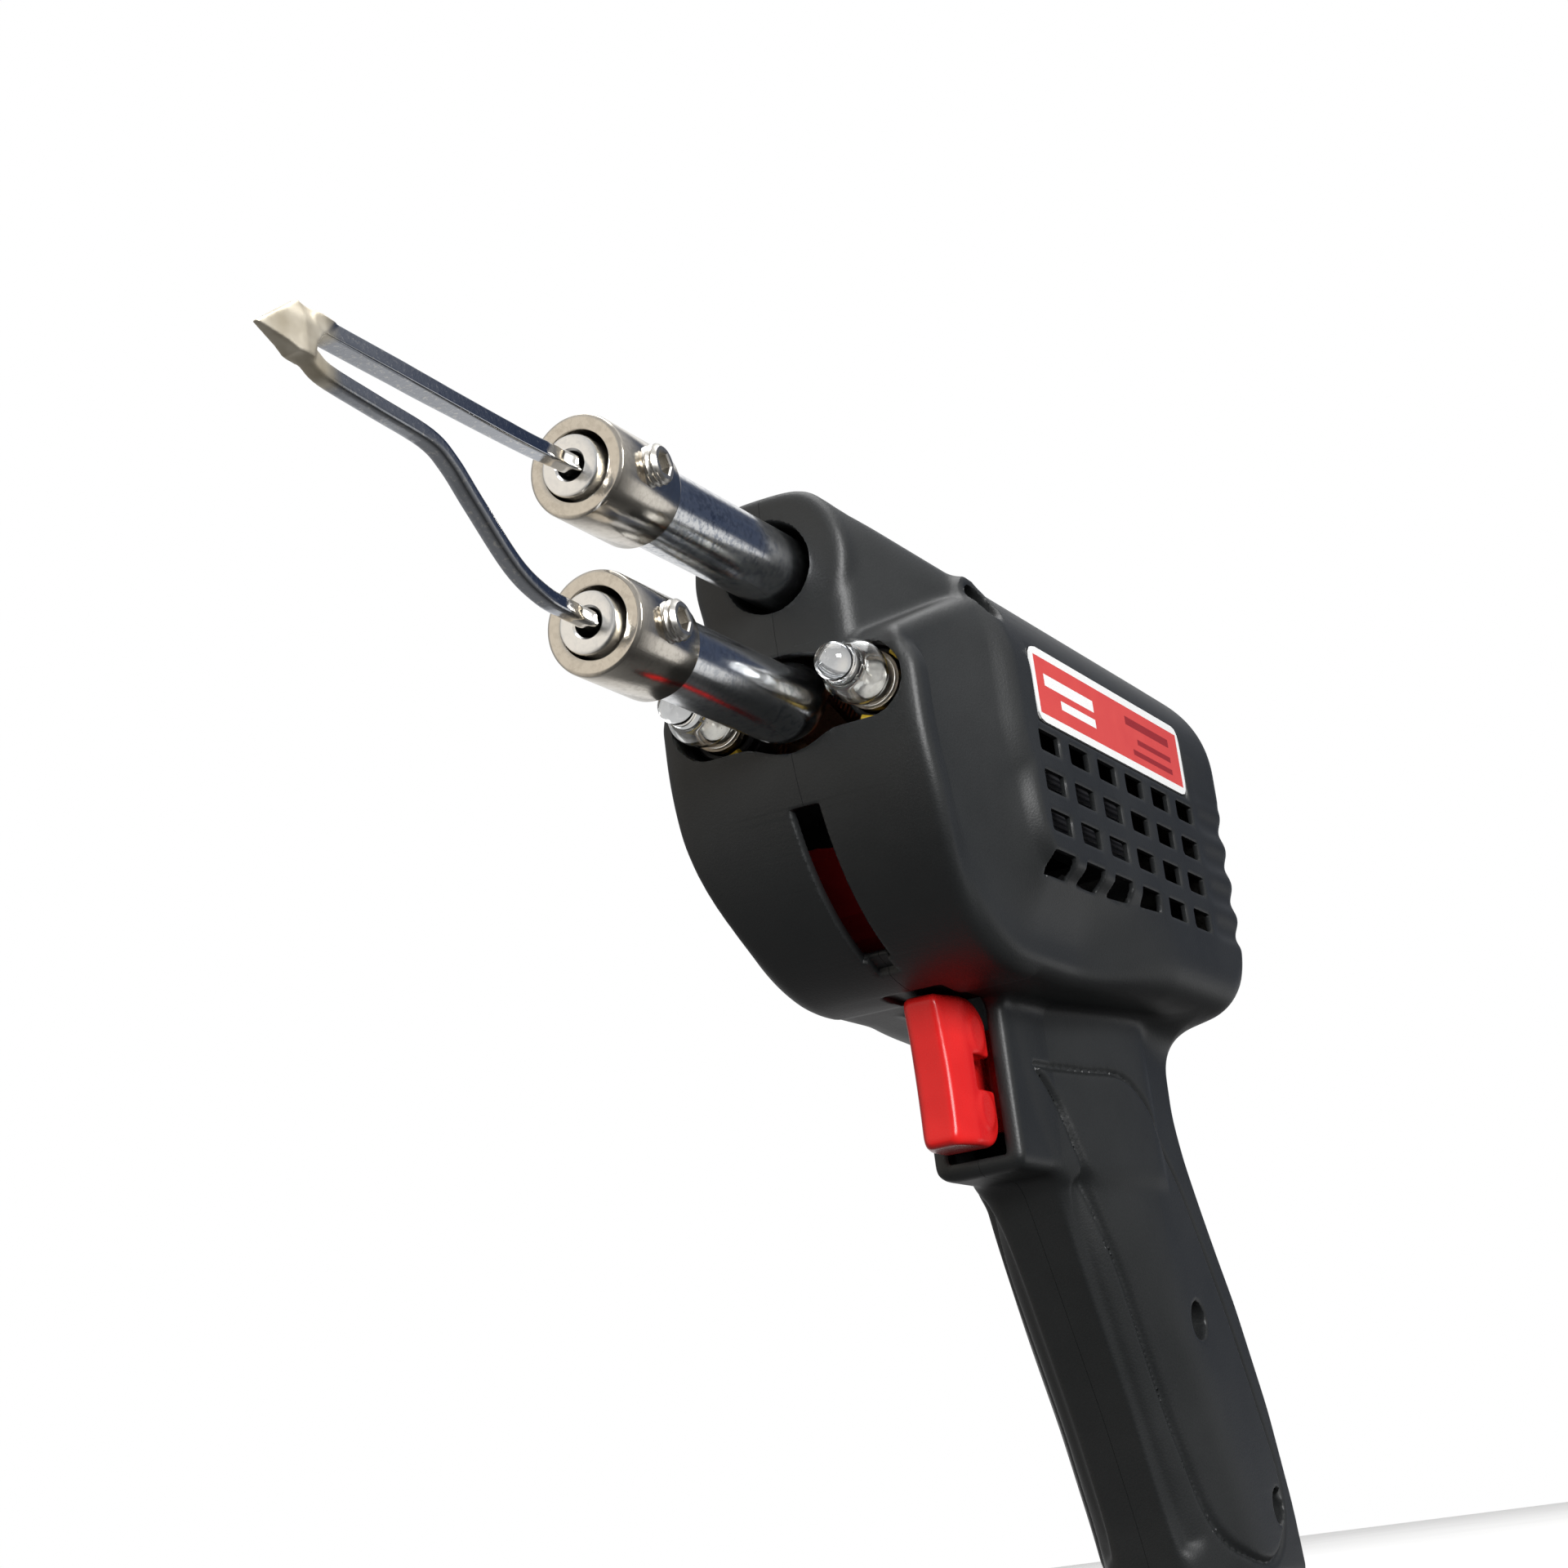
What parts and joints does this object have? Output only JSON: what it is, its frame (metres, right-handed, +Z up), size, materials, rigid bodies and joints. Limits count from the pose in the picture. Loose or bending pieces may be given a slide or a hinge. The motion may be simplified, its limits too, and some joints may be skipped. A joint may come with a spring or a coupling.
{
  "type": "soldering gun",
  "caption": "Pistol-grip transformer soldering gun: paired barrels with a looped square-wire tip, twin lamps, vented head, red trigger and swept handle.",
  "frame": {"origin": "centre of the footprint of the whole gun, at the level of the handle's base", "axes": "+X towards the tip, +Y the gun's left side, +Z up; the barrels lie along X"},
  "size_m": [0.287, 0.058, 0.1842],
  "materials": {
    "charcoal": "fine-textured moulded plastic",
    "trigger_red": "glossy moulded plastic",
    "label_red": "printed film with a white border and plain bars",
    "nickel": "satin nickel plate",
    "chrome": "bright plate, slightly mottled",
    "tinned": "tinned copper, scuffed",
    "steel": "plain steel",
    "copper": "copper",
    "lamp_glass": "clear glass",
    "brass": "plain brass",
    "black": "black moulded plastic",
    "tape": "red insulating tape",
    "bobbin": "natural nylon",
    "yellow": "wire insulation"
  },
  "bodies": {
    "gun_body": {"housing_left": "charcoal", "housing_right": "charcoal", "housing_screw_shoulder": "steel", "housing_screw_handle": "steel", "housing_screw_base": "steel", "label_left": "label_red", "label_right": "label_red", "upper_barrel": "chrome", "lower_barrel": "chrome", "upper_collar": "nickel", "lower_collar": "nickel", "lamp_left": "lamp_glass", "lamp_right": "lamp_glass", "lamp_base_left": "brass", "lamp_base_right": "brass", "lamp_holder_left": "black", "lamp_holder_right": "black", "lamp_lead_left": "yellow", "lamp_lead_right": "yellow", "transformer_core": "steel", "coil_bobbin": "bobbin", "primary_coil": "copper", "secondary_turn": "copper", "coil_tape": "tape", "trigger_spring": "steel", "switch_body": "black", "primary_lead_left": "black", "primary_lead_right": "black", "cord_bush": "black", "cord_clamp": "steel", "clamp_screw_left": "steel", "clamp_screw_right": "steel"},
    "trigger": {"trigger": "trigger_red"},
    "plunger": {"switch_plunger": "steel"},
    "upper_screw": {"upper_set_screw": "steel"},
    "lower_screw": {"lower_set_screw": "steel"},
    "tip": {"soldering_tip": "tinned"}
  },
  "joints": [
    {"name": "trigger_slide", "type": "slide", "parent": "gun_body", "child": "trigger", "axis": [-1, 0, 0], "range_m": [0, 0.006], "stiffness_N_per_m": 400, "springref_m": -0.005, "deforming": ["trigger_spring"]},
    {"name": "plunger_slide", "type": "slide", "parent": "gun_body", "child": "plunger", "axis": [-1, 0, 0], "range_m": [0, 0.006]},
    {"name": "upper_set_screw_turn", "type": "hinge", "parent": "gun_body", "child": "upper_screw", "pos_m": [0.06071, 0.008, 0.17], "axis": [0, 1, 0], "range_deg": [0, 720]},
    {"name": "lower_set_screw_turn", "type": "hinge", "parent": "gun_body", "child": "lower_screw", "pos_m": [0.06071, 0.008, 0.1458], "axis": [0, 1, 0], "range_deg": [0, 720]},
    {"name": "tip_slide", "type": "slide", "parent": "gun_body", "child": "tip", "axis": [1, 0, 0], "range_m": [0, 0.014]}
  ],
  "couplings": [
    {"joint": "plunger_slide", "follows": "trigger_slide", "ratio": 1}
  ]
}
